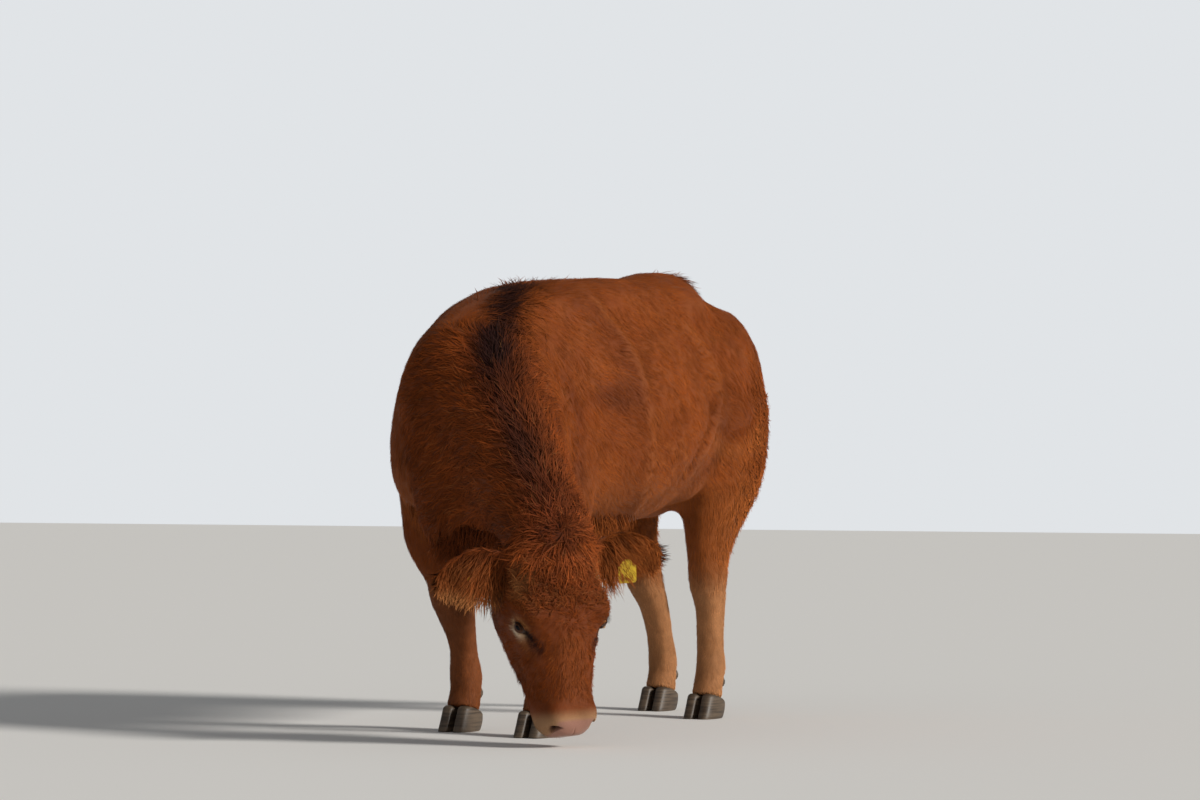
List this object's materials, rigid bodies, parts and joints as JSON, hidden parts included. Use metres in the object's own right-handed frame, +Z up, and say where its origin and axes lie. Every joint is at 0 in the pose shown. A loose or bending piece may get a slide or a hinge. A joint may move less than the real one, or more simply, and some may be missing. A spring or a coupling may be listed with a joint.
{
  "type": "cow",
  "caption": "Still life-size model of a polled red beef cow that stands grazing with its head low and turned to its left.",
  "frame": {"origin": "middle of the model's floor area, on the floor under the soles", "axes": "+Z up, -Y the way the cow stands facing, +X the cow's left"},
  "size_m": [0.99, 2.0456, 1.3877],
  "materials": {
    "coat": "short to shaggy russet hair",
    "muzzle": "bare moist skin, pale",
    "horn": "worn dark hoof horn",
    "eye": "wet and dark",
    "tag": "yellow plastic ear tag, blank"
  },
  "bodies": {
    "root": {"trunk": "coat", "neck": "coat", "head": "coat", "lower_jaw": "coat", "ear_left": "coat", "ear_right": "coat", "tail": "coat", "tail_switch": "coat", "fore_left_forearm": "coat", "fore_left_shank": "coat", "fore_left_pastern": "coat", "fore_right_forearm": "coat", "fore_right_shank": "coat", "fore_right_pastern": "coat", "hind_left_thigh": "coat", "hind_left_shank": "coat", "hind_left_pastern": "coat", "hind_right_thigh": "coat", "hind_right_shank": "coat", "hind_right_pastern": "coat", "muzzle": "muzzle", "chin": "muzzle", "claw_fore_left_a": "horn", "dewclaw_fore_left_a": "horn", "claw_fore_left_b": "horn", "dewclaw_fore_left_b": "horn", "claw_fore_right_a": "horn", "dewclaw_fore_right_a": "horn", "claw_fore_right_b": "horn", "dewclaw_fore_right_b": "horn", "claw_hind_left_a": "horn", "dewclaw_hind_left_a": "horn", "claw_hind_left_b": "horn", "dewclaw_hind_left_b": "horn", "claw_hind_right_a": "horn", "dewclaw_hind_right_a": "horn", "claw_hind_right_b": "horn", "dewclaw_hind_right_b": "horn", "eye_left": "eye", "ear_tag_left": "tag", "eye_right": "eye", "ear_tag_right": "tag"}
  },
  "joints": []
}
